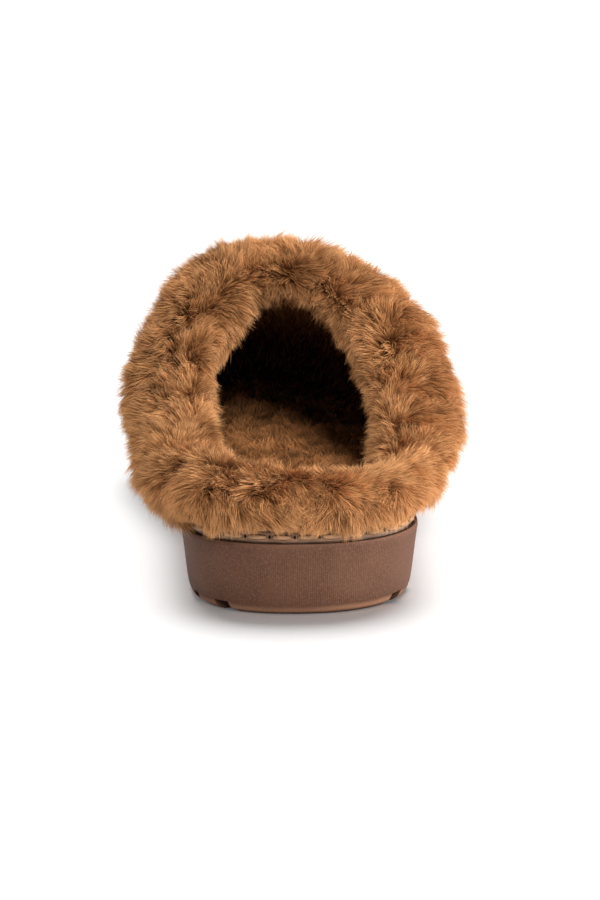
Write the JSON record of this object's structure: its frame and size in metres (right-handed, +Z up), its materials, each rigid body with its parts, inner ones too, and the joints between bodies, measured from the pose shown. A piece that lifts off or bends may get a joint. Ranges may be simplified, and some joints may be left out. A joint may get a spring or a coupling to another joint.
{
  "type": "clog slipper",
  "caption": "Closed-toe clog slipper with a moulded cup sole, a suede upper and a deep fur cuff folded over its low heel collar; a foot slides in from above and behind.",
  "frame": {"origin": "middle of the slipper's box, on the plane the sole stands on", "axes": "+Y from heel to toe, +X to the outer side of a right foot, +Z up"},
  "size_m": [0.1174, 0.274, 0.1026],
  "materials": {
    "sole_rubber": "matt moulded rubber",
    "upper_suede": "suede nap",
    "cuff_fur": "deep soft fur",
    "insole_pile": "short fur pile"
  },
  "bodies": {
    "root": {"sole": "sole_rubber", "upper": "upper_suede", "fur_cuff": "cuff_fur", "insole": "insole_pile"}
  },
  "joints": []
}
